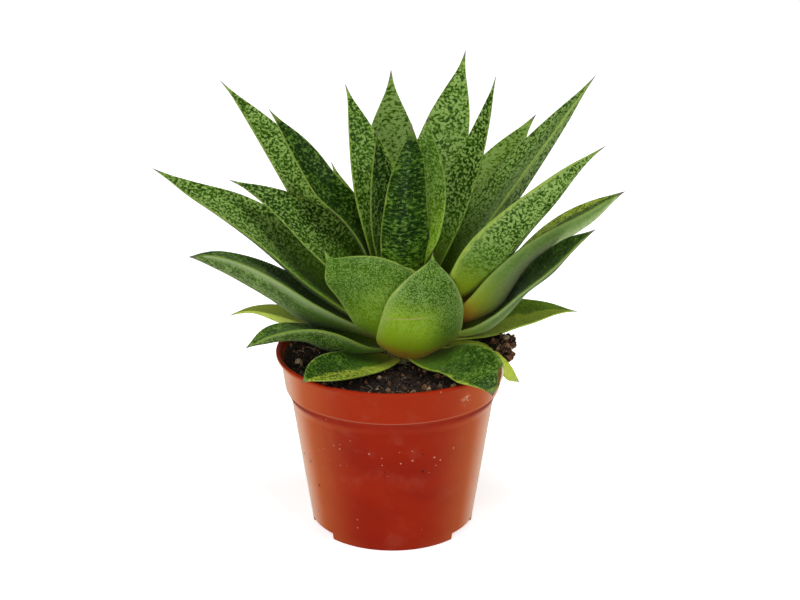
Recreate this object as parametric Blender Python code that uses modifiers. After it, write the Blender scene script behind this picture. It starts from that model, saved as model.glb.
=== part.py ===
"""Potted gasteria: a rosette of thick pointed leaves in a plastic nursery pot filled with soil.

Metres, +Z up. The origin is the centre of the pot's underside. -Y faces the viewer.
"""
import math
from collections import namedtuple
from itertools import combinations

import bmesh
import bpy
from mathutils import Matrix, Vector, noise
from mathutils.bvhtree import BVHTree

MM = 0.001
UP = Vector((0.0, 0.0, 1.0))
CLEARANCE = 0.35 * MM

# Pot, a 10.5 cm nursery pot: heights above the table and outer radii
RIM_RADIUS = 52.5 * MM
RIM_TOP = 83.5 * MM
RIM_LIP = 1.6 * MM
RIM_ROUND = 0.4 * MM
RIM_WIDTH = 1.6 * MM
RIM_INNER = 49.4 * MM
COLLAR_TOP_RADIUS = 50.6 * MM
COLLAR_FOOT = 67.0 * MM
COLLAR_FOOT_RADIUS = 48.5 * MM
WALL_TOP = 62.4 * MM
WALL_TOP_RADIUS = 45.9 * MM
FOOT_RADIUS = 36.3 * MM
FOOT_BEVEL = 0.9 * MM
WALL = 1.1 * MM
FLOOR = 1.3 * MM
POT_STEPS = 72

# Drain pockets: raised corners of the floor, two towards each side
POCKET_TURNS = (25.0, 155.0, 205.0, 335.0)
POCKET_ANGLE = 40.0
POCKET_HEIGHT = 4.7 * MM
POCKET_INNER = 26.5 * MM
POCKET_SKIN = 1.2 * MM
POCKET_SKIN_ANGLE = 2.2
POCKET_STEPS = 8
POCKET_ROOT = 0.8 * MM
DRAIN_HOLE = 6.0 * MM
HOLE_STEPS = 16

# Soil: its level at the wall, the rise towards the middle, and two sizes of roughness
SOIL_LEVEL = 78.5 * MM
SOIL_MOUND = 0.6 * MM
MOUND_RADIUS = 46.0 * MM
COARSE_SIZE = 13.0 * MM
COARSE_RISE = 1.1 * MM
FINE_SIZE = 5.0 * MM
FINE_RISE = 0.7 * MM
SOIL_STEPS = 60
SOIL_RINGS = 11

# Bark crumbs piled over the rim: distance from the pot's axis, direction, height and radius
Crumb = namedtuple("Crumb", "reach turn height radius")
CRUMBS = (
    Crumb(43.0, 9.0, 79.5, 5.6),
    Crumb(46.0, 7.0, 86.0, 4.2),
    Crumb(51.5, 5.0, 87.2, 3.4),
    Crumb(49.5, 11.0, 86.6, 3.0),
)
CRUMB_ROUGHNESS = 0.35
CRUMB_GRAIN = 2.2 * MM

# Crown: the short stem that carries the leaves, off the pot's centre as the plant stands
CROWN_X = 6.0 * MM
CROWN_Y = 5.0 * MM
CROWN_RADIUS = 11.0 * MM
CROWN_SHOULDER = 86.0 * MM
CROWN_TOP = 110.0 * MM
CROWN_FOOT = 64.0 * MM
CROWN_FOOT_BEVEL = 2.0 * MM
CROWN_STEPS = 28
CROWN_RINGS = 8
LOWEST_SEAT = 79.5 * MM

# Leaves. turn: compass direction, 0 to the right, 90 away, 180 left, 270 to the viewer.
# seat: height of the base on the crown above LOWEST_SEAT. rise and fall: slope at base and tip.
# reach: tip's distance from the crown's axis. height: tip above the table. width: widest.
# taper: 1 for a straight point, more for a blunt end. belly: keel depth over width.
# cup: depth of the channel over width.
# roll: turn of the blade about its own length. sway: sideways set of the tip.
# widest: share of the length where the blade is widest.
# Lengths in millimetres and angles in degrees.
Leaf = namedtuple("Leaf", "name turn seat rise reach height fall width widest taper belly cup roll sway")
LEAVES = (
    Leaf("leaf_01", 174, 2.5, 22, 81, 94, -30, 12, 0.35, 1.6, 0.15, 0.12, 0, 0),
    Leaf("leaf_02", 232, 3.0, 16, 73, 89, -15, 19, 0.45, 2.6, 0.15, 0.12, -20, 0),
    Leaf("leaf_03", 303, 3.0, 34, 69, 83, -50, 25, 0.45, 2.4, 0.13, 0.12, 24, 0),
    Leaf("leaf_04", 345, 3.0, 30, 54, 73, -84, 11, 0.35, 1.8, 0.16, 0.12, 0, 0),
    Leaf("leaf_05", 118, 4.0, 20, 80, 102, -10, 20, 0.35, 1.6, 0.20, 0.12, 0, 0),
    Leaf("leaf_06", 60, 4.0, 24, 76, 100, -15, 20, 0.35, 1.6, 0.20, 0.12, 0, 0),
    Leaf("leaf_07", 10, 5.0, 24, 80, 94, -22, 23, 0.40, 1.8, 0.17, 0.15, 10, 0),
    Leaf("leaf_08", 205, 6.5, 30, 78, 95, -42, 22, 0.40, 2.0, 0.16, 0.15, -8, 0),
    Leaf("leaf_09", 280, 5.0, 50, 22, 136, 108, 38, 0.48, 2.1, 0.14, 0.12, 0, 8),
    Leaf("leaf_10", 252, 9.0, 56, 25, 137, 80, 33, 0.58, 2.8, 0.14, 0.14, 25, -29),
    Leaf("leaf_11", 182, 10.5, 42, 97, 127, -8, 26, 0.35, 1.5, 0.20, 0.18, 5, 0),
    Leaf("leaf_12", 90, 7.0, 40, 84, 144, 20, 24, 0.35, 1.4, 0.24, 0.12, 0, 0),
    Leaf("leaf_13", 50, 10.0, 42, 95, 170, 34, 27, 0.40, 1.5, 0.20, 0.12, 0, 0),
    Leaf("leaf_14", 345, 10.5, 28, 86, 147, 38, 22, 0.40, 1.7, 0.20, 0.15, -10, 0),
    Leaf("leaf_15", 358, 16.5, 40, 97, 158, 12, 31, 0.40, 1.6, 0.22, 0.18, -20, 0),
    Leaf("leaf_16", 118, 10.5, 48, 70, 152, 35, 22, 0.40, 1.5, 0.24, 0.12, 0, 0),
    Leaf("leaf_17", 170, 14.5, 40, 116, 161, 20, 29, 0.32, 1.4, 0.24, 0.16, -14, 0),
    Leaf("leaf_18", 345, 20.0, 50, 90, 186, 36, 34, 0.38, 1.5, 0.24, 0.18, -25, 0),
    Leaf("leaf_19", 97, 15.5, 68, 55, 197, 74, 31, 0.55, 1.7, 0.18, 0.12, 0, 0),
    Leaf("leaf_20", 138, 21.0, 60, 117, 185, 37, 30, 0.38, 1.4, 0.22, 0.12, -6, 0),
    Leaf("leaf_21", 167, 20.0, 44, 82, 156, 12, 28, 0.35, 1.5, 0.22, 0.12, -20, 0),
    Leaf("leaf_22", 28, 22.0, 62, 98, 197, 42, 32, 0.38, 1.4, 0.28, 0.12, -12, 0),
    Leaf("leaf_23", 62, 23.5, 73, 58, 207, 66, 32, 0.45, 1.6, 0.20, 0.12, 0, 0),
    Leaf("leaf_24", 157, 24.0, 62, 67, 187, 50, 28, 0.38, 1.4, 0.22, 0.12, -15, 0),
    Leaf("leaf_25", 125, 25.5, 77, 48, 195, 68, 26, 0.45, 1.5, 0.20, 0.12, 0, 0),
    Leaf("leaf_26", 275, 25.0, 84, 12, 192, 88, 25, 0.40, 1.6, 0.22, 0.12, 0, -1),
    Leaf("leaf_27", 18, 25.5, 78, 42, 207, 68, 19, 0.40, 1.4, 0.24, 0.12, 30, 0),
    Leaf("leaf_28", 140, 28.0, 84, 17, 182, 80, 25, 0.40, 1.5, 0.20, 0.12, 0, 0),
    Leaf("leaf_29", 50, 30.0, 86, 16, 188, 82, 19, 0.40, 1.6, 0.20, 0.12, 0, 0),
)
LEAF_RINGS = 14
RING_CROWDING = 1.15

# Guide curve: length of its handles over the chord, and lean of the tip for its sway
BASE_HANDLE = 0.36
TIP_HANDLE = 0.34
SWAY_LEAN = 4.0
SEAT_STEP = 0.1 * MM

# Outline: width of the base over the widest, more on a blunt leaf, and of the point
BASE_SHARE = 0.36
BLUNT_BASE = 0.12
STRAIGHT_TAPER = 1.4
SHOULDER_CURVE = 0.8
TIP_WIDTH = 0.9 * MM
BLADE_END = 0.95

# Thickness: at the base, at the margins, and the share of the length where the keel is full
BASE_THICKNESS = 2.2 * MM
MARGIN = 0.8 * MM
KEEL_FULL = 0.35
KEEL_TAPER = 1.6
ROLL_FULL = 0.4
CHANNEL_FADE = 0.7

# Section, from one margin over the channelled face to the other and back round the keel:
# place across in half widths, share of the channel's depth, share of the keel's depth, margins deep
SECTION = (
    (1.0, 0.0, 0.0, 0),
    (0.52, 0.72, 0.0, 0),
    (0.0, 1.0, 0.0, 0),
    (-0.52, 0.72, 0.0, 0),
    (-1.0, 0.0, 0.0, 0),
    (-0.99, 0.0, 0.0, 1),
    (-0.6, 0.8, 0.62, 0),
    (0.0, 1.0, 1.0, 0),
    (0.6, 0.8, 0.62, 0),
    (0.99, 0.0, 0.0, 1),
)
UPPER_POINTS = 5

# Leaves that would cross bow apart in steps, with a skin of air on each
BOW_STEP = 0.3 * MM
BOW_ROUNDS = 120
SKIN = 0.3 * MM
FIRM_PUSH = 10.0


def clear_scene():
    """Remove every object, so the script starts from nothing."""
    for old in list(bpy.data.objects):
        bpy.data.objects.remove(old, do_unlink=True)


def new_collection(name):
    """A collection linked to the scene."""
    made = bpy.data.collections.new(name)
    bpy.context.scene.collection.children.link(made)
    return made


def new_material(name, colour, roughness):
    """A plain Principled material."""
    made = bpy.data.materials.new(name)
    made.use_nodes = True
    shader = made.node_tree.nodes["Principled BSDF"]
    shader.inputs["Base Color"].default_value = (*colour, 1.0)
    shader.inputs["Roughness"].default_value = roughness
    shader.inputs["Metallic"].default_value = 0.0
    return made


def mesh_object(name, shape, collection, material=None):
    """An object made from a bmesh, which is freed."""
    mesh = bpy.data.meshes.new(name)
    shape.to_mesh(mesh)
    shape.free()
    made = bpy.data.objects.new(name, mesh)
    collection.objects.link(made)
    if material:
        mesh.materials.append(material)
    return made


def soften(made, angle=40.0):
    """Smooth shading with sharp edges kept."""
    made.data.shade_smooth()
    made.data.set_sharp_from_angle(angle=math.radians(angle))


def turned(name, profile, steps, collection, material=None):
    """A solid of revolution about Z from (radius, height) points that start and end on the axis."""
    shape = bmesh.new()
    verts = [shape.verts.new((radius, 0.0, height)) for radius, height in profile]
    for a, b in zip(verts, verts[1:]):
        shape.edges.new((a, b))
    made = mesh_object(name, shape, collection, material)
    screw = made.modifiers.new("turn", "SCREW")
    screw.steps = steps
    screw.render_steps = steps
    screw.use_merge_vertices = True
    screw.merge_threshold = 0.00001
    screw.use_smooth_shade = True
    return made


def applied(made):
    """Make an object's modifiers part of its mesh."""
    bpy.context.view_layer.update()
    ready = made.evaluated_get(bpy.context.evaluated_depsgraph_get())
    mesh = bpy.data.meshes.new_from_object(ready)
    made.modifiers.clear()
    made.data = mesh


def boolean(made, others, operation):
    """A Boolean modifier with every object of a collection."""
    cut = made.modifiers.new(operation.lower(), "BOOLEAN")
    cut.operation = operation
    cut.solver = "EXACT"
    cut.operand_type = "COLLECTION"
    cut.collection = others


def clear_helpers(collection):
    """Remove a collection and the helpers in it."""
    for helper in list(collection.objects):
        bpy.data.objects.remove(helper, do_unlink=True)
    bpy.data.collections.remove(collection)


def ring_sector(name, inner, outer, low, high, turn, angle, collection):
    """A block bent round Z: radii inner to outer, heights low to high, centred on a direction."""
    shape = bmesh.new()
    corners = ((inner, low), (outer, low), (outer, high), (inner, high))
    verts = [shape.verts.new((radius, 0.0, height)) for radius, height in corners]
    start = shape.faces.new(verts)
    to_start = Matrix.Rotation(math.radians(turn - angle / 2), 3, "Z")
    bmesh.ops.rotate(shape, verts=shape.verts, matrix=to_start)
    bmesh.ops.spin(shape, geom=[start], axis=UP, steps=POCKET_STEPS, angle=math.radians(angle))
    bmesh.ops.recalc_face_normals(shape, faces=shape.faces)
    mesh_object(name, shape, collection)


def wall_radius(height):
    """Outer radius of the pot's wall, collar and step at a height."""
    if height >= COLLAR_FOOT:
        share = (height - COLLAR_FOOT) / (RIM_TOP - RIM_LIP - COLLAR_FOOT)
        return COLLAR_FOOT_RADIUS + share * (COLLAR_TOP_RADIUS - COLLAR_FOOT_RADIUS)
    if height >= WALL_TOP:
        share = (height - WALL_TOP) / (COLLAR_FOOT - WALL_TOP)
        return WALL_TOP_RADIUS + share * (COLLAR_FOOT_RADIUS - WALL_TOP_RADIUS)
    share = height / WALL_TOP
    return FOOT_RADIUS + share * (WALL_TOP_RADIUS - FOOT_RADIUS)


def pot_profile():
    """Half section of the pot, from the floor's middle up inside, over the rim and down outside."""
    lip = RIM_TOP - RIM_LIP
    inner_step = 0.3 * MM
    inside = [(0.0, FLOOR), (wall_radius(FLOOR) - WALL, FLOOR),
              (WALL_TOP_RADIUS - WALL, WALL_TOP + inner_step),
              (COLLAR_FOOT_RADIUS - WALL, COLLAR_FOOT + inner_step),
              (wall_radius(lip) - WALL, lip), (RIM_RADIUS - RIM_WIDTH, RIM_TOP)]
    rim = [(RIM_RADIUS - RIM_ROUND, RIM_TOP), (RIM_RADIUS, RIM_TOP - RIM_ROUND),
           (RIM_RADIUS, lip + RIM_ROUND), (RIM_RADIUS - RIM_ROUND, lip), (wall_radius(lip), lip - RIM_ROUND)]
    outside = [(COLLAR_FOOT_RADIUS, COLLAR_FOOT), (WALL_TOP_RADIUS, WALL_TOP),
               (wall_radius(0.5 * WALL_TOP), 0.5 * WALL_TOP), (FOOT_RADIUS, FOOT_BEVEL),
               (FOOT_RADIUS - FOOT_BEVEL, 0.0), (0.0, 0.0)]
    return inside + rim + outside


def make_pot(parts):
    """The turned pot, with four drain pockets in the corner of its floor."""
    plastic = new_material("terracotta_plastic", (0.42, 0.045, 0.012), 0.38)
    pot = turned("pot", pot_profile(), POT_STEPS, parts, plastic)
    applied(pot)
    bodies = new_collection("pocket_bodies")
    rooms = new_collection("pocket_rooms")
    for index, turn in enumerate(POCKET_TURNS):
        ring_sector(f"pocket_{index}", POCKET_INNER, FOOT_RADIUS - 0.15 * MM, POCKET_ROOT, POCKET_HEIGHT,
                    turn, POCKET_ANGLE, bodies)
        ring_sector(f"pocket_room_{index}", POCKET_INNER + POCKET_SKIN, FOOT_RADIUS + 4 * MM, -1 * MM,
                    POCKET_HEIGHT - POCKET_SKIN, turn, POCKET_ANGLE - 2 * POCKET_SKIN_ANGLE, rooms)
        hole = bmesh.new()
        bmesh.ops.create_cone(hole, cap_ends=True, segments=HOLE_STEPS, radius1=DRAIN_HOLE / 2,
                              radius2=DRAIN_HOLE / 2, depth=6 * MM)
        middle = Vector(((POCKET_INNER + FOOT_RADIUS) / 2, 0.0, POCKET_HEIGHT))
        where = Matrix.Rotation(math.radians(turn), 4, "Z") @ Matrix.Translation(middle)
        bmesh.ops.transform(hole, matrix=where, verts=hole.verts)
        mesh_object(f"drain_hole_{index}", hole, rooms)
    boolean(pot, bodies, "UNION")
    applied(pot)
    boolean(pot, rooms, "DIFFERENCE")
    applied(pot)
    clear_helpers(bodies)
    clear_helpers(rooms)
    soften(pot)


def crown_radius(height):
    """Radius of the crown at a height: a neck, then a dome."""
    if height <= CROWN_SHOULDER:
        return CROWN_RADIUS
    share = min((height - CROWN_SHOULDER) / (CROWN_TOP - CROWN_SHOULDER), 1.0)
    return CROWN_RADIUS * math.sqrt(1.0 - share * share)


def make_crown(parts):
    """The stem, from its foot in the soil to its domed top."""
    dome = CROWN_TOP - CROWN_SHOULDER
    profile = [(0.0, CROWN_TOP)]
    for ring in range(1, CROWN_RINGS):
        turn = math.radians(90.0 * (1.0 - ring / CROWN_RINGS))
        profile.append((CROWN_RADIUS * math.cos(turn), CROWN_SHOULDER + dome * math.sin(turn)))
    profile += [(CROWN_RADIUS, CROWN_SHOULDER), (CROWN_RADIUS, CROWN_FOOT + CROWN_FOOT_BEVEL),
                (CROWN_RADIUS - CROWN_FOOT_BEVEL, CROWN_FOOT), (0.0, CROWN_FOOT)]
    crown = turned("crown", profile, CROWN_STEPS, parts, new_material("crown_tissue", (0.25, 0.2, 0.03), 0.6))
    crown.location = (CROWN_X, CROWN_Y, 0.0)


def eased(share):
    """A share from 0 to 1 with a soft start and end."""
    kept = min(1.0, max(0.0, share))
    return kept * kept * (3.0 - 2.0 * kept)


def leaf_width(leaf, along):
    """Width of a leaf's blade at a share of its length."""
    widest = leaf.width * MM
    base = (BASE_SHARE + BLUNT_BASE * (leaf.taper - STRAIGHT_TAPER)) * widest
    if along < leaf.widest:
        return base + (widest - base) * math.sin(0.5 * math.pi * along / leaf.widest) ** SHOULDER_CURVE
    rest = min(1.0, (along - leaf.widest) / (BLADE_END - leaf.widest))
    return max(widest * (1.0 - rest ** leaf.taper), TIP_WIDTH)


def leaf_thickness(leaf, along):
    """Depth of the keel below the channel at a share of the length."""
    full = leaf.belly * leaf.width * MM
    depth = BASE_THICKNESS + (full - BASE_THICKNESS) * eased(along / KEEL_FULL)
    rest = min(1.0, max(0.0, (along - leaf.widest) / (BLADE_END - leaf.widest)))
    return max(depth * (1.0 - rest ** KEEL_TAPER), MARGIN)


def bezier(points, share):
    """A point and the direction of a cubic Bezier."""
    p0, p1, p2, p3 = points
    keep = 1.0 - share
    spot = keep ** 3 * p0 + 3 * keep * keep * share * p1 + 3 * keep * share * share * p2 + share ** 3 * p3
    heading = 3 * keep * keep * (p1 - p0) + 6 * keep * share * (p2 - p1) + 3 * share * share * (p3 - p2)
    return spot, heading.normalized()


def sloped(outward, degrees):
    """An outward direction tilted up from level."""
    slope = math.radians(degrees)
    return outward * math.cos(slope) + UP * math.sin(slope)


def leaf_guide(leaf, lift, bows):
    """The four points of a leaf's guide curve and its sideways direction, the base clear of the crown."""
    turn = math.radians(leaf.turn)
    outward = Vector((math.cos(turn), math.sin(turn), 0.0))
    aside = Vector((-math.sin(turn), math.cos(turn), 0.0))
    axis = Vector((CROWN_X, CROWN_Y, 0.0))
    first = sloped(outward, leaf.rise)
    last = (sloped(outward, leaf.fall) + aside * SWAY_LEAN * leaf.sway / leaf.height).normalized()
    seat = LOWEST_SEAT + leaf.seat * MM + lift
    tip = axis + outward * leaf.reach * MM + aside * leaf.sway * MM + UP * leaf.height * MM
    out = crown_radius(seat)
    gap = 0.0
    while gap < CLEARANCE:
        out += SEAT_STEP
        base = axis + outward * out + UP * seat
        chord = (tip - base).length
        guide = [base, base + first * BASE_HANDLE * chord + bows[0],
                 tip - last * TIP_HANDLE * chord + bows[1], tip]
        foot, _ = leaf_ring(leaf, guide, aside, 0.0)
        gap = min((point - axis).xy.length - crown_radius(point.z) for point in foot)
    return guide, aside


def leaf_ring(leaf, guide, aside, share, skin=0.0):
    """The points of a leaf's section at a share of its rings, with a skin of air, and its facing."""
    along = share ** RING_CROWDING
    spot, heading = bezier(guide, along)
    across = (aside - heading * aside.dot(heading)).normalized()
    roll = Matrix.Rotation(math.radians(leaf.roll) * eased(along / ROLL_FULL), 3, heading)
    face = roll @ heading.cross(across)
    across = roll @ across
    width = leaf_width(leaf, along)
    keel = leaf_thickness(leaf, along)
    channel = leaf.cup * width * (1.0 - CHANNEL_FADE * along)
    points = []
    for index, (aside_share, channel_share, keel_share, margins) in enumerate(SECTION):
        air = skin if index < UPPER_POINTS else -skin
        rise = air - channel_share * channel - keel_share * keel - margins * MARGIN
        points.append(spot + across * (width / 2 + skin) * aside_share + face * rise)
    return points, face


def leaf_skin(leaf, guide, aside):
    """A leaf's points with a skin of air, a search tree over its faces, and each ring's facing."""
    points = []
    faces = []
    facings = []
    count = len(SECTION)
    for ring in range(LEAF_RINGS):
        section, face = leaf_ring(leaf, guide, aside, ring / LEAF_RINGS, SKIN)
        start = len(points)
        points += section
        facings.append(face)
        if ring:
            for index in range(count):
                other = (index + 1) % count
                faces.append((start + index, start + other, start + other - count, start + index - count))
    return points, BVHTree.FromPolygons(points, faces), facings


def way_out(point):
    """Which way a leaf's point leaves the crown, the rim or the soil, or None where it is clear of them."""
    margin = CLEARANCE / 2
    from_crown = Vector((point.x - CROWN_X, point.y - CROWN_Y, 0.0))
    if point.z < CROWN_TOP + margin and from_crown.length < crown_radius(point.z) + margin:
        return from_crown.normalized()
    from_pot = Vector((point.x, point.y, 0.0))
    radius = from_pot.length
    if RIM_INNER - margin < radius < RIM_RADIUS + margin and point.z < RIM_TOP + margin:
        return (UP * 2 + from_pot.normalized()).normalized()
    if radius <= RIM_INNER and point.z < SOIL_LEVEL + soil_rise(point.x, point.y) + CLEARANCE:
        return UP
    return None


def lean_on(pushes, share, push):
    """Share a push out over a guide's first three points by their hold on the curve there."""
    keep = 1.0 - share
    for index, hold in enumerate((keep ** 3, 3 * keep * keep * share, 3 * keep * share * share)):
        pushes[index] += push * hold


def push_crossing(skins, pushes):
    """Where two leaves cross, push the older one back and the younger one forward."""
    for (older, (_, tree, outer)), (younger, (_, other, inner)) in combinations(enumerate(skins), 2):
        for first, second in tree.overlap(other):
            first = first // len(SECTION) + 1
            second = second // len(SECTION) + 1
            lean_on(pushes[older], first / LEAF_RINGS, -outer[first])
            lean_on(pushes[younger], second / LEAF_RINGS, inner[second])


def push_clear(skins, pushes):
    """Push each leaf out of the crown, the rim and the soil."""
    for index, (points, _, _) in enumerate(skins):
        for spot, point in enumerate(points):
            way = way_out(point)
            if way:
                lean_on(pushes[index], spot // len(SECTION) / LEAF_RINGS, way * FIRM_PUSH)


def spread_leaves():
    """Guides on which no leaf crosses another: each gives way a little a round, its tip held."""
    lifts = [0.0 for _ in LEAVES]
    bows = [[Vector(), Vector()] for _ in LEAVES]
    for _ in range(BOW_ROUNDS):
        guides = [leaf_guide(leaf, lift, bow) for leaf, lift, bow in zip(LEAVES, lifts, bows)]
        skins = [leaf_skin(leaf, *guide) for leaf, guide in zip(LEAVES, guides)]
        pushes = [[Vector(), Vector(), Vector()] for _ in LEAVES]
        push_crossing(skins, pushes)
        push_clear(skins, pushes)
        for index, push in enumerate(pushes):
            most = max(part.length for part in push)
            if most > 0.0:
                lifts[index] += push[0].z / most * BOW_STEP
                bows[index][0] += push[1] / most * BOW_STEP
                bows[index][1] += push[2] / most * BOW_STEP
    return guides


def make_leaf(leaf, guide, aside, parts, material):
    """A leaf lofted through its rings, closed at the base and brought to a point."""
    shape = bmesh.new()
    rings = []
    for ring in range(LEAF_RINGS):
        section, _ = leaf_ring(leaf, guide, aside, ring / LEAF_RINGS)
        rings.append([shape.verts.new(point) for point in section])
    tip = shape.verts.new(guide[3])
    count = len(SECTION)
    for ring, after in zip(rings, rings[1:]):
        for index in range(count):
            other = (index + 1) % count
            shape.faces.new((ring[index], ring[other], after[other], after[index]))
    for index in range(count):
        shape.faces.new((rings[-1][index], rings[-1][(index + 1) % count], tip))
    shape.faces.new(rings[0])
    bmesh.ops.recalc_face_normals(shape, faces=shape.faces)
    blade = mesh_object(leaf.name, shape, parts, material)
    soften(blade, 50.0)


def make_leaves(parts):
    """Every leaf of the rosette, each its own object."""
    green = new_material("leaf_green", (0.06, 0.17, 0.03), 0.42)
    for leaf, guide in zip(LEAVES, spread_leaves()):
        make_leaf(leaf, *guide, parts, green)


def soil_profile():
    """Half section of the soil: rings over the top, down along the pot's wall, and flat below."""
    low = POCKET_HEIGHT + CLEARANCE
    inset = WALL + CLEARANCE + 0.1 * MM
    shoulder = COLLAR_FOOT + 0.6 * MM
    edge = wall_radius(SOIL_LEVEL - MM) - inset
    top = [(edge * ring / SOIL_RINGS, SOIL_LEVEL) for ring in range(SOIL_RINGS)]
    side = [(edge, SOIL_LEVEL - MM), (wall_radius(shoulder) - inset, shoulder),
            (WALL_TOP_RADIUS - inset, WALL_TOP), (wall_radius(low) - inset, low), (0.0, low)]
    return top + side


def soil_rise(x, y):
    """Height of the soil's rough top above its level."""
    spread = 1.0 - (x * x + y * y) / MOUND_RADIUS ** 2
    coarse = noise.noise(Vector((x / COARSE_SIZE, y / COARSE_SIZE, 3.1)))
    fine = noise.noise(Vector((x / FINE_SIZE, y / FINE_SIZE, 7.7)))
    return SOIL_MOUND * spread + COARSE_RISE * coarse + FINE_RISE * fine


def make_crumbs(collection):
    """Rough lumps of bark, flattened where they lie over the rim."""
    for index, crumb in enumerate(CRUMBS):
        turn = math.radians(crumb.turn)
        middle = Vector((crumb.reach * math.cos(turn), crumb.reach * math.sin(turn), crumb.height)) * MM
        shape = bmesh.new()
        bmesh.ops.create_icosphere(shape, subdivisions=2, radius=crumb.radius * MM)
        for vert in shape.verts:
            swell = 1.0 + CRUMB_ROUGHNESS * noise.noise(vert.co / CRUMB_GRAIN + Vector((index, 0.0, 0.5)))
            vert.co = middle + vert.co * swell
            if vert.co.xy.length > RIM_INNER - CLEARANCE:
                vert.co.z = max(vert.co.z, RIM_TOP + CLEARANCE)
        mesh_object(f"crumb_{index}", shape, collection)


def make_soil(parts):
    """The soil, with a rough top, bark crumbs over the rim and a plain hole for the crown's foot."""
    peat = new_material("potting_soil", (0.02, 0.012, 0.008), 0.95)
    soil = turned("soil", soil_profile(), SOIL_STEPS, parts, peat)
    applied(soil)
    for vert in soil.data.vertices:
        if vert.co.z > SOIL_LEVEL - 0.5 * MM:
            vert.co.z += soil_rise(vert.co.x, vert.co.y)
    depth = 40 * MM
    hole = bmesh.new()
    bmesh.ops.create_cone(hole, cap_ends=True, segments=CROWN_STEPS, radius1=CROWN_RADIUS + CLEARANCE,
                          radius2=CROWN_RADIUS + CLEARANCE, depth=depth)
    middle = Vector((CROWN_X, CROWN_Y, CROWN_FOOT - CLEARANCE + depth / 2))
    bmesh.ops.translate(hole, verts=hole.verts, vec=middle)
    holes = new_collection("crown_hole")
    mesh_object("crown_hole", hole, holes)
    boolean(soil, holes, "DIFFERENCE")
    applied(soil)
    crumbs = new_collection("bark_crumbs")
    make_crumbs(crumbs)
    boolean(soil, crumbs, "UNION")
    applied(soil)
    clear_helpers(holes)
    clear_helpers(crumbs)
    soften(soil)


def main():
    """Build the potted gasteria."""
    clear_scene()
    parts = new_collection("potted_gasteria")
    make_pot(parts)
    make_soil(parts)
    make_crown(parts)
    make_leaves(parts)


main()
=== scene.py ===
# %% [markdown]
# # A potted gasteria
# A gasteria is a succulent with thick, pointed leaves. This one stands in a small round nursery
# pot. The measured model of it is already there: a pot, a filling of soil, a short stem and one
# solid for each leaf. This lesson gives every surface its finish: the speckled skin of the leaves
# with their pale margins, the crumbly soil, and the satin plastic of the pot.
#
# The measured model is loaded first.

# %% Load the measured model
import math
import random
from collections import namedtuple

import bmesh
import bpy
from mathutils import Matrix, Vector, noise


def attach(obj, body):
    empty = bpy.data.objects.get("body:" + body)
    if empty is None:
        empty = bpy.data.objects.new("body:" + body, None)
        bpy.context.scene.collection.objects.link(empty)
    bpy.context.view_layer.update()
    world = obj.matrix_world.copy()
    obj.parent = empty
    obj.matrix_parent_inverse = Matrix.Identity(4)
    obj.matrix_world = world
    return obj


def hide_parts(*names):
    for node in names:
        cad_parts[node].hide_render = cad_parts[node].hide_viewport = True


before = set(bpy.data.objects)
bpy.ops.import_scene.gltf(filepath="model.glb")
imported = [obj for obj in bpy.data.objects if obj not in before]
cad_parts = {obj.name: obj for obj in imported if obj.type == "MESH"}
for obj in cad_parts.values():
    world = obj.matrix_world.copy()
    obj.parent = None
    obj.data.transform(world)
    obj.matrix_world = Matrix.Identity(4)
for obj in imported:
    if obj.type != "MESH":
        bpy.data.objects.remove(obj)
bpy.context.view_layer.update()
MM = 0.001
UP = Vector((0.0, 0.0, 1.0))
leaf_nodes = sorted(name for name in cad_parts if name.startswith("leaf_"))

# %% [markdown]
# ## Camera and light
# A small plant looks natural from arm's length, a little from above. A long lens keeps the pot's
# sides straight. The light is that of a white studio: a pale table top lit from below, so that hardly
# a shadow is left, a backdrop brighter than white, which bleaches the outer edges of things, and a
# darker side behind the camera, so that the front of the pot keeps its deep colour.

# %% The camera
def add_object(name, data):
    """A new object in the scene."""
    made = bpy.data.objects.new(name, data)
    bpy.context.collection.objects.link(made)
    return made


PHOTO_WIDTH = 800
FOCAL_PIXELS = 2737.0
SENSOR = 36.0
CAMERA_PITCH = math.radians(21.2)
camera_data = bpy.data.cameras.new("camera")
camera_data.sensor_width = SENSOR
camera_data.lens = FOCAL_PIXELS / PHOTO_WIDTH * SENSOR
camera = add_object("camera", camera_data)
camera.location = (0.0034, -1.142, 0.55)
camera.rotation_euler = (math.radians(90.0) - CAMERA_PITCH, 0.0, 0.0)
bpy.context.scene.camera = camera
bpy.context.scene.view_settings.view_transform = "Standard"
print("lens:", round(camera_data.lens, 1), "mm")

# %% [markdown]
# Materials are built from nodes. A few small helpers keep each recipe short: `feed` sets a socket
# or links it, and the others add nodes and give back what comes out of them. A socket knows the
# tree that it belongs to, so new nodes are put beside the ones that feed them.

# %% Node helpers
def feed(socket, value):
    """Link a socket to another socket, or give it a value."""
    if isinstance(value, bpy.types.NodeSocket):
        socket.id_data.links.new(value, socket)
    elif socket.type == "RGBA" and len(value) == 3:
        socket.default_value = (*value, 1.0)
    else:
        socket.default_value = value


def add_node(tree, kind, settings=None, **inputs):
    """A node of a kind, with its settings and inputs."""
    made = tree.nodes.new("ShaderNode" + kind)
    for name, value in (settings or {}).items():
        setattr(made, name, value)
    for name, value in inputs.items():
        feed(made.inputs[name.replace("_", " ")], value)
    return made


def maths(operation, first, second=0.0):
    """A Math node."""
    socket = first if isinstance(first, bpy.types.NodeSocket) else second
    made = add_node(socket.id_data, "Math", {"operation": operation})
    feed(made.inputs[0], first)
    feed(made.inputs[1], second)
    return made.outputs[0]


def times(first, second):
    """One value times another."""
    return maths("MULTIPLY", first, second)


def plus(first, second):
    """One value added to another."""
    return maths("ADD", first, second)


def minus(first, second):
    """One value less another."""
    return maths("SUBTRACT", first, second)


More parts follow.
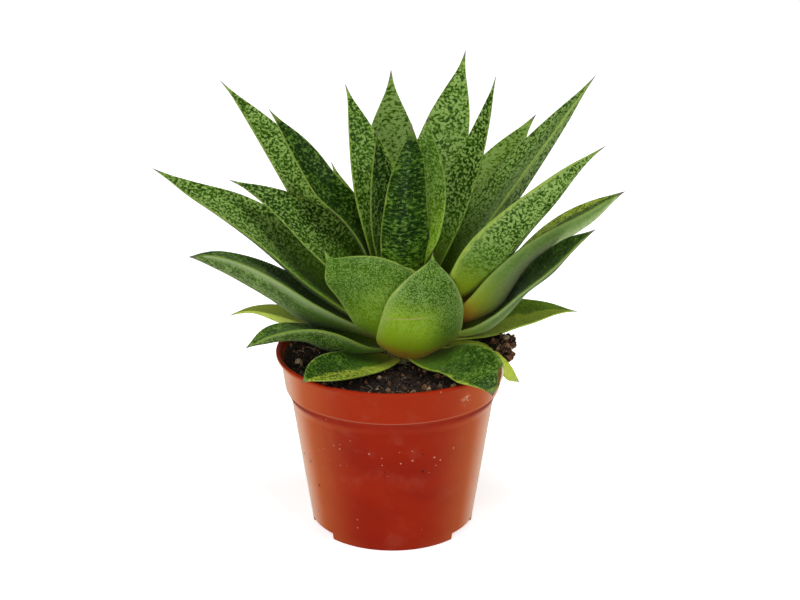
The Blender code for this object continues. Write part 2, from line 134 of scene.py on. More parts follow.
def step(value, low, high, start=0.0, end=1.0):
    """A value eased from start to end as another goes from low to high."""
    made = add_node(value.id_data, "MapRange", {"interpolation_type": "SMOOTHSTEP"}, Value=value,
                    From_Min=low, From_Max=high, To_Min=start, To_Max=end)
    return made.outputs["Result"]


def blend(share, first, second):
    """One colour over another."""
    made = add_node(share.id_data, "Mix", {"data_type": "RGBA"})
    feed(made.inputs[0], share)
    feed(made.inputs[6], first)
    feed(made.inputs[7], second)
    return made.outputs[2]


def cover(colour, *layers):
    """Colours laid over a colour one after another, each with its share."""
    for share, tint in layers:
        colour = blend(share, colour, tint)
    return colour


def cloud(vector, scale, detail=2.0, roughness=0.5, distortion=0.0):
    """A noise pattern."""
    made = add_node(vector.id_data, "TexNoise", Vector=vector, Scale=scale, Detail=detail,
                    Roughness=roughness, Distortion=distortion)
    return made.outputs["Factor"] if "Factor" in made.outputs else made.outputs["Fac"]


def stretch(vector, scale):
    """A vector with each part scaled."""
    return add_node(vector.id_data, "Mapping", Vector=vector, Scale=scale).outputs[0]


def roughen(shader, strength, distance, height):
    """Give a material fine bumps."""
    bump = add_node(shader.id_data, "Bump", Strength=strength, Distance=distance, Height=height)
    feed(shader.inputs["Normal"], bump.outputs["Normal"])


def new_group(name, inputs, outputs):
    """An empty node group with named sockets, and what goes into it and comes out."""
    group = bpy.data.node_groups.new(name, "ShaderNodeTree")
    kinds = {"vector": "NodeSocketVector", "value": "NodeSocketFloat", "colour": "NodeSocketColor"}
    for label, kind in inputs:
        group.interface.new_socket(label, in_out="INPUT", socket_type=kinds[kind])
    for label, kind in outputs:
        group.interface.new_socket(label, in_out="OUTPUT", socket_type=kinds[kind])
    given, result = (group.nodes.new("NodeGroup" + end) for end in ("Input", "Output"))
    return group, given.outputs, result.inputs


def use_group(tree, group, **inputs):
    """What comes out of a node group placed in a material with some inputs."""
    made = tree.nodes.new("ShaderNodeGroup")
    made.node_tree = group
    for name, value in inputs.items():
        feed(made.inputs[name.replace("_", " ")], value)
    return made.outputs


def new_material(name, **inputs):
    """A material with its Principled shader's own values set."""
    made = bpy.data.materials.new(name)
    made.use_nodes = True
    shader = made.node_tree.nodes["Principled BSDF"]
    for label, value in inputs.items():
        feed(shader.inputs[label.replace("_", " ")], value)
    return made, made.node_tree, shader


def place(name, shape, material=None):
    """An object made from a bmesh, which is freed."""
    mesh = bpy.data.meshes.new(name)
    shape.to_mesh(mesh)
    shape.free()
    if material:
        mesh.materials.append(material)
    return add_object(name, mesh)


def as_mesh(piece):
    """A new mesh of what a piece looks like."""
    bpy.context.view_layer.update()
    return bpy.data.meshes.new_from_object(piece.evaluated_get(bpy.context.evaluated_depsgraph_get()))


def bake(piece):
    """Make a piece's modifiers part of its mesh."""
    mesh = as_mesh(piece)
    piece.modifiers.clear()
    piece.data = mesh


def triangles(piece):
    """How many triangles a piece has."""
    return sum(len(face.vertices) - 2 for face in piece.data.polygons)

# %% The floor and the surround
FLOOR_SIZE = 12.0
FLOOR_GLOW = 0.62
shape = bmesh.new()
bmesh.ops.create_grid(shape, x_segments=1, y_segments=1, size=FLOOR_SIZE / 2)
floor_paint, _, _ = new_material("floor_paint", Base_Color=(0.9, 0.9, 0.9), Roughness=0.9,
                                 Emission_Color=(1.0, 1.0, 1.0), Emission_Strength=FLOOR_GLOW)
floor = place("floor", shape, floor_paint)
floor.visible_glossy = False

world = bpy.data.worlds.new("studio")
bpy.context.scene.world = world
world.use_nodes = True
sky = world.node_tree
direction = add_node(sky, "TexCoord").outputs["Generated"]
parts = add_node(sky, "SeparateXYZ", Vector=direction).outputs
sides = step(parts["Y"], -0.8, 0.0, 0.3, 1.0)
backdrop = step(parts["Y"], 0.3, 0.95, 0.0, 1.6)
ceiling = step(parts["Z"], 0.3, 1.0)
glow = plus(plus(sides, backdrop), ceiling)
feed(sky.nodes["Background"].inputs["Strength"], glow)
print("floor:", FLOOR_SIZE, "m wide")

# %% Soft lamps
LAMP_AIM = Vector((0.0, 0.0, 0.1))
Lamp = namedtuple("Lamp", "name place size power")
LAMPS = (
    Lamp("lamp_left", (-1.1, -0.5, 1.0), 0.7, 7.0),
    Lamp("lamp_right", (1.1, -0.3, 0.9), 0.7, 6.0),
    Lamp("lamp_top", (0.1, -0.2, 1.6), 0.6, 14.5),
    Lamp("lamp_front", (-0.2, -1.5, 0.5), 0.9, 11.0),
)
for lamp in LAMPS:
    data = bpy.data.lights.new(lamp.name, "AREA")
    data.size = lamp.size
    data.energy = lamp.power
    made = add_object(lamp.name, data)
    made.location = lamp.place
    made.rotation_euler = (Vector(lamp.place) - LAMP_AIM).to_track_quat("Z", "Y").to_euler()
print("lamps:", len(LAMPS))

# %% [markdown]
# ## Leaves
# Each leaf of the measured model is a solid made of rings of ten points from the base to the tip:
# five over the channelled upper face and five round the keel. Its mesh is loose triangles. A copy
# is merged, its rings are found by walking outwards from the tip, and the diagonals are dissolved,
# so that clean quads are left. Then a subdivision surface can round the leaf, while creases hold
# the margins, the keel and the point.
#
# The walk also tells where every point lies on the skin: how far along the leaf, how far across,
# and on which face. This is stored with the mesh, so that the speckles can follow the leaf.

# %% Find the rings of a leaf
RING_POINTS = 10
UPPER_POINTS = 5
CROWN_MIDDLE = Vector((6.0, 5.0, 90.0)) * MM


def walk_layers(tip):
    """Sets of points at one, two and more edges from the tip."""
    seen = {tip}
    layers = []
    front = [tip]
    while front:
        after = {edge.other_vert(vert) for vert in front for edge in vert.link_edges} - seen
        seen |= after
        front = sorted(after, key=lambda vert: vert.index)
        if front:
            layers.append(front)
    return layers


def ring_order(layer, towards):
    """The points of one layer in order round the leaf, anticlockwise seen from the tip."""
    members = set(layer)
    near = {}
    for vert in layer:
        rim = []
        for edge in vert.link_edges:
            if edge.other_vert(vert) in members:
                others = {v for face in edge.link_faces for v in face.verts} - members
                if others:
                    rim.append(edge.other_vert(vert))
        near[vert] = rim
    order = [layer[0]]
    while len(order) < len(layer):
        after = [vert for vert in near[order[-1]] if vert not in order[-2:]]
        order.append(after[0])
    area = Vector()
    for first, second in zip(order, order[1:] + order[:1]):
        area += first.co.cross(second.co)
    if area.dot(towards) < 0.0:
        order.reverse()
    return order


def matched(ring, other):
    """The other ring, turned so that each of its points lies along the leaf from this ring's."""
    best = None
    for turn in range(RING_POINTS):
        turned = other[turn:] + other[:turn]
        pairs = list(zip(ring, turned))
        if all(any(edge.other_vert(a) is b for edge in a.link_edges) for a, b in pairs):
            length = sum((a.co - b.co).length for a, b in pairs)
            if best is None or length < best[0]:
                best = (length, turned)
    return best[1]


def centre(ring):
    """The middle of a ring."""
    return sum((vert.co for vert in ring), Vector()) / len(ring)


def find_rings(shape):
    """A leaf's rings from base to tip, each from its left margin over the upper face, and its tip."""
    tip = max(shape.verts, key=lambda vert: (vert.co - CROWN_MIDDLE).length)
    layers = walk_layers(tip)[::-1]
    layers.append([tip])
    middles = [centre(layer) for layer in layers]
    rings = [ring_order(layer, middles[index + 1] - middles[index])
             for index, layer in enumerate(layers[:-1])]
    widest = len(rings) // 3
    ring = rings[widest]
    gaps = [(ring[index].co - ring[index - 1].co).length for index in range(RING_POINTS)]
    starts = sorted(range(RING_POINTS), key=lambda index: gaps[index])[:2]
    sides = []
    for start in starts:
        turned = ring[start:] + ring[:start]
        chord = (turned[0].co + turned[UPPER_POINTS - 1].co) / 2
        sides.append(((turned[UPPER_POINTS // 2].co - chord).length, turned))
    rings[widest] = min(sides, key=lambda side: side[0])[1]
    for index in range(widest, 0, -1):
        rings[index - 1] = matched(rings[index], rings[index - 1])
    for index in range(widest, len(rings) - 1):
        rings[index + 1] = matched(rings[index], rings[index + 1])
    return rings, tip


# %% [markdown]
# A real leaf isn't as regular as a measured solid: its base is broad and clasps the stem, and one
# side may bulge or twist. Each row below is a pull at a percentage of the leaf's length from its
# base. In millimetres, it moves the left and the right margin outwards, the blade up and the keel
# down. Then it rolls the leaf by some degrees, left margin up, and last moves it along the leaf.
# Zeros at the end of a row aren't written, and without a row for the tip, the pull fades out there.

# %% Pull a leaf into shape
Pull = namedtuple("Pull", "share left right lift keel roll reach", defaults=(0,) * 6)
KEEL_SPREAD = {6: 0.62, 7: 1.0, 8: 0.62}
CLASPING = ((0, 2.5, 2.5, 0, 0.5), (12, 1.5, 1.5, 0, 0.5), (30, 0.4, 0.4), (50, 0, 0))
PULLS = {
    1: ((0, 2, 2), (40, 3, 1, 0, 4), (55, 5, 1, 0, 5), (70, 4.5, 1, 0.5, 4.5), (85, 2, 0, 0.8, 1.2)),
    2: ((0, 2, 2, -0.6), (15, 1.5, 1, -0.8), (40, 0, 0), (75, 0.5, 0.5), (90, 0.5, 1.5)),
    3: ((0, 3, 1, 0, 0.5), (12, 1, 0.5), (30, 0, -1.5), (45, 0, -4), (60, 1, -3), (72, 2.5, -1),
        (86, 5, -0.5), (93, 4.5, 0.5)),
    4: ((0, -1, -1, -1.5), (15, -2, -1.5, -1.5), (40, -5, 8), (57, -8, 11), (71, -11.5, 16),
        (85, -11.5, 20), (93, -8.5, 14), (100, -5, 5)),
    7: ((0, 1, 3, -1, 1), (24, 0, 5, -3.4, -0.5), (38, 0, 6, -3.3, -0.8), (53, 0, 4.5, -2.9, -0.5),
        (68, 0, 3.5, -2.5), (84, 0, 1, -1)),
    8: ((0, 2, 0, 0, 0.5), (18, 2.5, -0.5, 0, 2.2), (26, 2, -0.5, 0.3, 3.8, 6), (41, 1, 0, 1, 4.5, 16),
        (57, 0, 0, 1.5, 2.5, 20), (72, 0, 0, 1.5, 3.5, 16), (86, 0, 0.5, 0.8, 4, 10),
        (93, 0.5, 0.5, 0, 2)),
    9: ((0, 5, 3, 0, 3), (12, 7, 3.5, 0, 2), (25, 5, 0.5, 0, 1), (40, 2, -2), (55, 0.5, -3),
        (72, 0, -4.5), (84, 0.5, -4), (93, -1.2, -2.3)),
    10: ((0, 4, 1.5, 0, 1), (10, 6, 2, 0, 1), (24, 7, 0.5), (38, 8, -1), (52, 3.5, -3), (60, 0, -3.8),
         (68, -2.6, -3.8), (76, -6, -2.2), (84, -6.5, 0.3, 0, 0, 0, -1), (92, -6.8, 1.6, 0, 0, 0, -1.7),
         (100, -1.5, 1.5)),
    11: ((0, 2, 2, 0, 1.5), (12, 2.5, 2, 0, 2.5), (25, 6, 1, 0, 4), (39, 7, 0, 0, 6), (47, 5, 0, 0.5, 6),
         (55, 4, 0.5, 1.5, 6.5), (70, 1, 1, 2.7, 7.5), (85, 1.5, 1.5, 3.3, 6.6),
         (93, 1.5, 1.5, 2.6, 4.5)),
    13: ((0, 3, 3, 0, 1), (25, 3, 0), (53, 8, 0), (68, 9, 0), (84, 5.5, 0)),
    14: ((0, 2, 1, -1.5, 1), (11, 3, 0, -4, 1.2), (25, 3.5, -1, -6, 1.4, 6), (39, 4, 0, -4.5, -0.4, 12),
         (53, 4.5, 0, -1.2, -0.6, 19), (60, 5, 0, -0.6, 0.8, 23), (68, 5, 0, -0.3, 2.6, 26),
         (76, 4.5, 0.5, 0.3, 2.2, 29), (84, 3.8, 1, 1, 2, 32), (93, 2.5, 1, 1, 1.5, 20)),
    15: ((0, 2, 2, -1, 3), (12, 2.5, 1, -2, 4), (25, 2.2, 0, -2.4, 4.8), (33, 2.6, 0, -1.6, 2.2),
         (40, 3, 0, -0.5, 0, 3), (50, 3, 0, 0.8, -1.8, 5), (61, 2.5, 0, 1.2, 1.4, 8),
         (69, 1.5, 0, 0.8, 3.7, 12), (76, 1.3, 0.2, 0.3, 4.8, 17), (84, 1, 0.5, -0.3, 5.2, 22),
         (93, 1, 0.5, 0, 3, 24)),
    16: ((0, 2.5, 2.5, 0, 0.5), (30, 0.7, 0.7), (65, 0, 0), (85, 1.5, -1.5, 0, 0, 0, -0.5),
         (100, 2.5, -2.5, 0, 0, 0, -1)),
    17: ((0, 5, 2, 0, 1), (12, 5, 1, 0, 1.5), (25, 2.5, 0, 0, 1), (39, 0.5, 1, 0, 0.5),
         (53, 1.5, 3, 1, 2), (68, 3, 3, 1, 2.5), (84, 4, 0, 0, 1.5)),
    18: ((0, 2, 2, 0, 1), (25, 1, 0, -2, 0.5), (53, 1, 0, -2.6, 0.3), (70, 2, 0, -2.5, 2),
         (84, 1, 0, -1, 1.5)),
    21: ((0, 2, 2), (38, 2, 0, 0, 0.5), (52, 3.5, 0, 0, 1), (68, 2.5, 0, 0, 0.5)),
    22: ((0, 2.5, 2.5, 0, 1), (25, 1, 1), (50, 1, 1, 0, 2.5), (70, 3, 0.5, 0, 2.8), (85, 2, 0, 0, 2.2)),
    23: ((0, 2, 2, 0, 0.5), (15, 1, 0), (30, 0, -2.5), (45, 0, -3.5), (60, 0.5, -2), (75, 1.5, 0)),
    24: ((0, 0, 2.5, 0, 0.5), (10, -5, 1), (20, -9, 0), (30, -11, 0), (38, -10, 0), (45, -7.5, -2),
         (53, -1.5, -3.5), (60, 0.5, -3.5), (70, 1, -0.5), (80, 1.5, 1.5)),
    26: ((0, 1.5, 2.5, 0, 0.5), (30, -2.5, 0, -1.1), (55, -2.5, -0.4, -1.9), (70, 0.5, 0.5, -0.8),
         (84, 3.5, 0), (100, 2.5, -2.5)),
    27: ((0, 2, 2, 0, 0.5), (25, 0.5, 0.5, -1.8), (39, 0, 0, -3.5), (53, 0, 0, -4.8), (68, -0.5, 0, -5),
         (84, 0, 0, -3.3)),
    29: ((0, 2.5, 2.5), (12, 0, 3), (25, -3.5, 7, -0.4), (38, -8.3, 12, -2.2), (51, -9.5, 13, -3.2),
         (59, -9.5, 13, -3.2), (66, -8.3, 12.5, -2.8), (74, -5.5, 11, -1.6), (83, -2.5, 8), (91, -1, 3)),
}


def pull_rows(number):
    """A leaf's rows of pulls, which end at its tip."""
    rows = [Pull(share / 100, *pulls) for share, *pulls in PULLS.get(number, CLASPING)]
    return rows if rows[-1].share == 1.0 else rows + [Pull(1.0)]


def pull_at(rows, share):
    """The pull at a share of the length, between two rows."""
    for first, second in zip(rows, rows[1:]):
        if share <= second.share:
            mix = (share - first.share) / (second.share - first.share)
            return Pull(*(a + mix * (b - a) for a, b in zip(first, second)))
    return rows[-1]


def pull_leaf(rings, tip, rows):
    """Move the points of each ring by its pull."""
    middles = [centre(ring) for ring in rings] + [tip.co.copy()]
    reach = [0.0]
    for first, second in zip(middles, middles[1:]):
        reach.append(reach[-1] + (second - first).length)
    for number, ring in enumerate(rings):
        pull = pull_at(rows, reach[number] / reach[-1])
        wide = ring[0].co - ring[UPPER_POINTS - 1].co
        across = wide.normalized()
        along = (middles[number + 1] - middles[max(number - 1, 0)]).normalized()
        up = across.cross(along).normalized()
        if up.dot(ring[2].co - ring[7].co) < 0.0:
            up.negate()
        middle = (ring[0].co + ring[UPPER_POINTS - 1].co) / 2
        roll = Matrix.Rotation(math.radians(pull.roll), 3, along)
        for index, vert in enumerate(ring):
            side = max(-1.0, min(1.0, (vert.co - middle).dot(across) / (wide.length / 2)))
            sideways = (pull.left - pull.right) / 2 + side * (pull.left + pull.right) / 2
            down = pull.keel * KEEL_SPREAD.get(index, 0.0)
            shift = across * sideways + up * (pull.lift - down) + along * pull.reach
            vert.co = middle + roll @ (vert.co - middle + shift * MM)
    pull = rows[-1]
    tip.co += (across * (pull.left - pull.right) / 2 + up * pull.lift + along * pull.reach) * MM


print("leaves with a shape of their own:", len(PULLS))

# %% [markdown]
# No two leaves look alike. Each row below is one leaf's look, mostly in values from 0 to 1, and what
# it doesn't name stays at the default:
#
# - `dark` and `pale`, which come first, are the tones of the ground and of the spots, and `contrast`
#   is their strength. `bands` draws the spots into bands, `fine` makes them smaller, and they become
#   clear around `clear`, a share of the length.
# - `gold` is a young leaf's yellow, `warm` the yellow and orange of the base, and `glow` painted light
#   shining through. `left` and `right` are lime strips along a margin, partly the leaf's colour and
#   partly painted light on a lit side, and `rim` is the margin's pale line.
# - `bleach` is a painted grey reflection along the underside's edge, `sheen` a painted
#   highlight along its ridge, `scar` a thin dry line, and `withered` a dry end.

# %% The look of each leaf
Look = namedtuple("Look", "dark pale contrast bands gold left right warm glow bleach sheen withered "
                          "fine clear scar rim",
                  defaults=(0.5, 0.5, 1.0, 0.2, 0.0, 0.0, 0.0, 0.4, 0.0, 0.3, 0.0, 0.0, 0.0, 0.35, 0.0,
                            0.4))
LOOKS = {
    1: Look(0.0, 0.5, contrast=0.3, gold=1.0, bands=0.0, warm=0.2),
    2: Look(0.9, 0.1, contrast=0.9, bands=0.0, left=0.6, warm=0.3, fine=0.4),
    3: Look(0.85, 0.3, contrast=0.8, right=0.1, warm=0.2, withered=1.0, fine=0.5, rim=0.25),
    4: Look(0.1, 0.1, contrast=0.3, gold=1.0, bands=0.0),
    7: Look(0.3, 0.3, contrast=0.4, gold=0.1, right=0.8, warm=0.5, fine=0.5),
    8: Look(0.75, 0.35, contrast=0.8, bands=0.0, warm=0.2, fine=0.6, sheen=0.1, rim=0.25),
    9: Look(0.65, 0.75, contrast=0.5, bands=0.0, warm=0.8, glow=0.85, fine=0.9, scar=0.6, rim=0.3),
    10: Look(0.45, 0.5, contrast=0.5, bands=0.0, glow=0.35, bleach=0.1, fine=0.8),
    11: Look(0.9, 0.4, contrast=0.8, bands=0.1, clear=0.5, bleach=0.8, fine=0.5, sheen=0.3, rim=0.12),
    13: Look(0.2, 1.0, contrast=0.8, gold=0.05, bands=0.4),
    14: Look(1.0, 0.1, contrast=0.7, bands=0.1, warm=0.7, clear=0.4, sheen=0.6, bleach=0.7, rim=0.12,
             fine=0.3),
    15: Look(0.6, 0.3, contrast=0.8, bands=0.1, left=0.7, warm=1.3, clear=0.4, sheen=1.0, rim=0.15),
    16: Look(0.0, 0.9, gold=0.2),
    17: Look(0.4, 0.6, bands=0.1, clear=0.45, fine=0.2, rim=0.2),
    18: Look(0.5, 0.7, bands=0.1, right=0.05, warm=0.9, bleach=0.15, clear=0.45, fine=0.35, rim=0.3),
    19: Look(0.15, 1.0, bands=0.5, rim=0.2),
    20: Look(0.3, 0.55, glow=0.2),
    21: Look(0.7, 0.4, clear=0.4, right=0.08, rim=0.25),
    22: Look(0.3, 0.72, left=0.03),
    23: Look(0.2, 0.65, bands=0.4, glow=0.2, rim=0.25),
    24: Look(1.0, 0.05, bands=0.3),
    25: Look(0.2, 0.4, bands=0.3, glow=0.3),
    26: Look(1.0, 0.1, bands=0.8, bleach=0.0, clear=0.1, fine=0.3, rim=0.25),
    27: Look(0.6, 0.45, rim=0.25),
    28: Look(1.0, 0.2, bands=0.3, rim=0.2),
    29: Look(0.2, 0.5, contrast=0.8, bands=0.4, glow=0.35, fine=0.4, rim=0.15),
}
print("looks:", len(LOOKS), "of", len(Look._fields), "values each")

# %% Make a leaf smooth
MARGIN_CREASE = 0.75
KEEL_CREASE = 0.25
SUBDIVISIONS = 2


def ring_places(rings):
    """Each point's ring and its place in it."""
    return {vert: (number, index)
            for number, ring in enumerate(rings) for index, vert in enumerate(ring)}


def clean_quads(shape, rings):
    """Dissolve the diagonals between rings and the chords of the base."""
    spots = ring_places(rings)
    spare = []
    for edge in shape.edges:
        first, second = (spots.get(vert) for vert in edge.verts)
        if first and second:
            across = (first[1] - second[1]) % RING_POINTS
            if first[0] != second[0] and across:
                spare.append(edge)
            elif first[0] == second[0] and across not in (1, RING_POINTS - 1):
                spare.append(edge)
    bmesh.ops.dissolve_edges(shape, edges=spare, use_verts=False)


def lay_skin(shape, rings, tip, seed):
    """Store where each point lies on the leaf's skin."""
    along, upper, across = (shape.verts.layers.float[name] for name in ("along", "upper", "across"))
    skin = shape.verts.layers.float_vector["skin"]
    middles = [centre(ring) for ring in rings] + [tip.co.copy()]
    reach = [0.0]
    for first, second in zip(middles, middles[1:]):
        reach.append(reach[-1] + (second - first).length / MM)
    half = UPPER_POINTS // 2
    for number, ring in enumerate(rings):
        for face in range(2):
            row = ring[face * UPPER_POINTS:(face + 1) * UPPER_POINTS]
            for index, vert in enumerate(row):
                steps = range(min(index, half), max(index, half))
                run = sum((row[i].co - row[i + 1].co).length for i in steps) / MM
                side = (index - half) / half * (-1 if face else 1)
                vert[along] = reach[number] / reach[-1]
                vert[upper] = 1.0 - face
                vert[across] = side
                vert[skin] = Vector((math.copysign(run, side), reach[number], seed + face * 37.0))
    tip[along] = 1.0
    tip[upper] = 0.5
    tip[across] = 0.0
    tip[skin] = Vector((0.0, reach[-1], seed))


def crease(shape, rings, tip):
    """Hold the margins, the keel, the base and the point while the leaf is rounded."""
    edge_crease = shape.edges.layers.float["crease_edge"]
    point_crease = shape.verts.layers.float["crease_vert"]
    holds = {0: MARGIN_CREASE, 4: MARGIN_CREASE, 5: MARGIN_CREASE, 9: MARGIN_CREASE, 7: KEEL_CREASE}
    spots = ring_places(rings)
    for edge in shape.edges:
        first, second = (spots.get(vert) for vert in edge.verts)
        if first and second and first[0] != second[0]:
            edge[edge_crease] = holds.get(first[1], 0.0)
        elif first and second and first[0] == 0:
            edge[edge_crease] = 1.0
    tip[point_crease] = 1.0


def make_leaf(node, seed):
    """A rounded leaf with its skin laid out, which takes the place of a plain one."""
    number = int(node[-2:])
    shape = bmesh.new()
    shape.from_mesh(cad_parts[node].data)
    for name in ("along", "upper", "across", "crease_vert"):
        shape.verts.layers.float.new(name)
    shape.verts.layers.float_vector.new("skin")
    shape.edges.layers.float.new("crease_edge")
    bmesh.ops.remove_doubles(shape, verts=shape.verts, dist=0.00001)
    shape.verts.index_update()
    rings, tip = find_rings(shape)
    clean_quads(shape, rings)
    pull_leaf(rings, tip, pull_rows(number))
    lay_skin(shape, rings, tip, seed)
    crease(shape, rings, tip)
    bmesh.ops.recalc_face_normals(shape, faces=shape.faces)
    leaf = place(node.replace("leaf", "blade"), shape)
    rounded = leaf.modifiers.new("rounded", "SUBSURF")
    rounded.levels = SUBDIVISIONS
    rounded.render_levels = SUBDIVISIONS
    bake(leaf)
    leaf.data.shade_smooth()
    for name, value in LOOKS.get(number, Look())._asdict().items():
        paint = leaf.data.attributes.new(name, "FLOAT", "POINT")
        paint.data.foreach_set("value", [value] * len(leaf.data.vertices))
    return leaf


blades = [make_leaf(node, 11.0 * number) for number, node in enumerate(leaf_nodes)]
print("leaf triangles:", sum(triangles(blade) for blade in blades))

# %% [markdown]
# ### The leaf's skin
# A gasteria leaf is dark green, with pale spots that run together, often in bands across the leaf.
# The margins carry a thin, hard, pale line, the point is grey, and towards the base the spots fade
# into plain green, then into yellow and orange. The spots are a noise pattern cut off at a level,
# and a larger noise moves that level, so that some patches are paler than others.

# %% Spots that follow the leaf
def make_spots():
    """A group: how pale the skin is at a point, in millimetres on the leaf, from 0 to 1."""
    group, given, result = new_group(
        "leaf_spots",
        [("Skin", "vector"), ("Pale", "value"), ("Bands", "value"), ("Fine", "value")],
        [("Tone", "value"), ("Patches", "value")],
    )
    skin = given["Skin"]
    round_spots = cloud(skin, 0.8, 0.6, 0.4, 0.5)
    banded = cloud(stretch(skin, (0.45, 1.0, 1.0)), 1.0, 0.6, 0.4, 0.6)
    pattern = blend(given["Bands"], round_spots, banded)
    pattern = blend(given["Fine"], pattern, cloud(skin, 1.9, 1.0))
    large = cloud(stretch(skin, (0.1, 0.12, 1.0)), 1.0, 1.0)
    fine = cloud(skin, 2.6, 1.0)
    shift = times(minus(large, 0.5), 0.12)
    mottle = times(minus(fine, 0.5), 0.22)
    level = minus(0.56, times(given["Pale"], 0.13))
    over = minus(plus(pattern, plus(shift, mottle)), level)
    feed(result["Tone"], step(over, -0.15, 0.15))
    feed(result["Patches"], large)
    return group


spots_group = make_spots()
print("group:", spots_group.name)

# %% The leaf's material
DARK_GREEN = (0.014, 0.036, 0.001)
DARKEST_GREEN = (0.002, 0.012, 0.0004)
DEEP_GREEN = (0.016, 0.048, 0.001)
FRESH_GREEN = (0.06, 0.145, 0.004)
PALE_SPOT = (0.22, 0.335, 0.085)
GLOWING_GREEN = (0.24, 0.4, 0.006)
BASE_GREEN = (0.065, 0.155, 0.003)
BASE_YELLOW = (0.25, 0.31, 0.008)
BASE_ORANGE = (0.34, 0.15, 0.018)
MARGIN_LIME = (0.28, 0.39, 0.06)
LIME_YELLOW = (0.3, 0.38, 0.03)
YOUNG_YELLOW = (0.46, 0.55, 0.06)
PAINTED_EDGE_REFLECTION = (0.23, 0.3, 0.14)
UNDER_EDGE = (0.12, 0.22, 0.035)
PAINTED_RIDGE_HIGHLIGHT = (0.43, 0.53, 0.25)
SCAR_PALE = (0.36, 0.26, 0.11)
POINT_GREY = (0.12, 0.11, 0.085)
WITHERED_BROWN = (0.11, 0.045, 0.012)
WITHERED_CREAM = (0.5, 0.4, 0.28)
WARM_REACH = 0.14
LIME_SPREAD = 1.3
SCAR_PLACE = 0.5
SCAR_SLOPE = -0.11


def attribute(tree, name, output="Fac"):
    """A value stored with the mesh."""
    return add_node(tree, "Attribute", {"attribute_name": name}).outputs[output]


def make_leaf_skin():
    """The leaf's material."""
    made, tree, shader = new_material("leaf_skin", Roughness=0.42, Specular_IOR_Level=0.08,
                                      Sheen_Weight=0.04, Sheen_Roughness=0.4)
    skin = attribute(tree, "skin", "Vector")
    along, upper, across = (attribute(tree, name) for name in ("along", "upper", "across"))
    look = {name: attribute(tree, name) for name in Look._fields}
    group = use_group(tree, spots_group, Skin=skin, Pale=look["pale"], Bands=look["bands"],
                      Fine=look["fine"])
    tone, patches = group["Tone"], group["Patches"]
    margin = maths("ABSOLUTE", across)
    # Painted light: on leaves with glow, the lit side of the lower half is painted glowing green, as if
    # light shone through, and the shaded side is left without the fresh base green, as painted shade.
    lit = step(across, -0.6, 0.1)
    shaded = times(minus(1.0, lit), look["glow"])
    fresh = times(step(along, 0.5, 0.1), minus(1.0, shaded))
    glow = times(step(along, 0.66, 0.4), lit)
    middle = cover(
        blend(look["dark"], FRESH_GREEN, DEEP_GREEN),
        (step(patches, 0.45, 0.75, 0.0, 0.5), FRESH_GREEN),
        (step(margin, 0.6, 1.0, 0.0, 0.4), FRESH_GREEN),
        (fresh, BASE_GREEN), (times(glow, look["glow"]), GLOWING_GREEN))
    edge = plus(across, times(minus(patches, 0.5), 0.5))
    # Lime strips along the margins: partly the leaf's own colour, partly painted light on a lit side.
    for sign, width in ((-1.0, look["left"]), (1.0, look["right"])):
        side = plus(times(edge, sign), times(width, LIME_SPREAD))
        middle = blend(times(step(side, 0.95, 1.15), 0.85), middle, LIME_YELLOW)
    middle = blend(look["gold"], middle, YOUNG_YELLOW)
    fade = times(step(minus(along, look["clear"]), -0.3, 0.15, 0.08, 0.9), look["contrast"])
    underside = step(upper, 0.45, 0.2)
    under = times(underside, look["sheen"])
    fade = times(fade, minus(1.0, times(under, 0.75)))
    # Painted highlight: the underside is painted from a darker green at its edges to a pale ridge.
    ridge_highlight = blend(step(margin, 0.9, 0.1), UNDER_EDGE, PAINTED_RIDGE_HIGHLIGHT)
    middle = blend(times(under, 0.8), middle, ridge_highlight)
    deep = times(step(tone, 0.45, 0.05), fade)
    light = times(times(step(tone, 0.5, 0.95), fade), step(look["pale"], 0.0, 0.6, 0.3, 1.0))
    # Painted reflection: a grey strip along the underside's edges stands in for the bright surround.
    bleach = times(underside, step(margin, 0.7, 1.0))
    start = minus(along, times(look["warm"], WARM_REACH))
    warmth = maths("MINIMUM", look["warm"], 1.0)
    inside = maths("ABSOLUTE", minus(upper, 0.5))
    rim = maths("MAXIMUM", step(inside, 0.49, 0.3), step(margin, 0.92, 0.98))
    rim = times(rim, step(along, 0.06, 0.2))
    line = minus(along, times(across, SCAR_SLOPE))
    line = maths("ABSOLUTE", minus(line, SCAR_PLACE))
    line = times(step(line, 0.007, 0.002), step(across, -0.05, 0.1))
    dead = times(step(along, 0.8, 0.86), look["withered"])
    colour = cover(
        middle,
        (deep, blend(look["dark"], DARK_GREEN, DARKEST_GREEN)),
        (light, PALE_SPOT),
        (times(bleach, look["bleach"]), PAINTED_EDGE_REFLECTION),
        (times(step(start, 0.26, 0.0, 0.0, 0.8), warmth), BASE_YELLOW),
        (times(step(start, 0.09, -0.05), warmth), BASE_ORANGE),
        (times(rim, look["rim"]), MARGIN_LIME),
        (times(line, look["scar"]), SCAR_PALE),
        (times(dead, step(across, -0.5, -0.65)), WITHERED_BROWN),
        (times(dead, step(across, -0.8, -0.9)), WITHERED_CREAM),
        (step(along, 0.96, 0.99), POINT_GREY))
    feed(shader.inputs["Base Color"], colour)
    fine = cloud(skin, 3.0, 2.0)
    roughen(shader, 0.4, 0.00015, plus(times(tone, 0.6), times(fine, 0.4)))
    feed(shader.inputs["Roughness"], step(fine, 0.3, 0.7, 0.36, 0.5))
    return made


leaf_skin = make_leaf_skin()
for node, blade in zip(leaf_nodes, blades):
    blade.data.materials.append(leaf_skin)
    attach(blade, "root")
    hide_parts(node)
print("leaves finished:", len(blades))

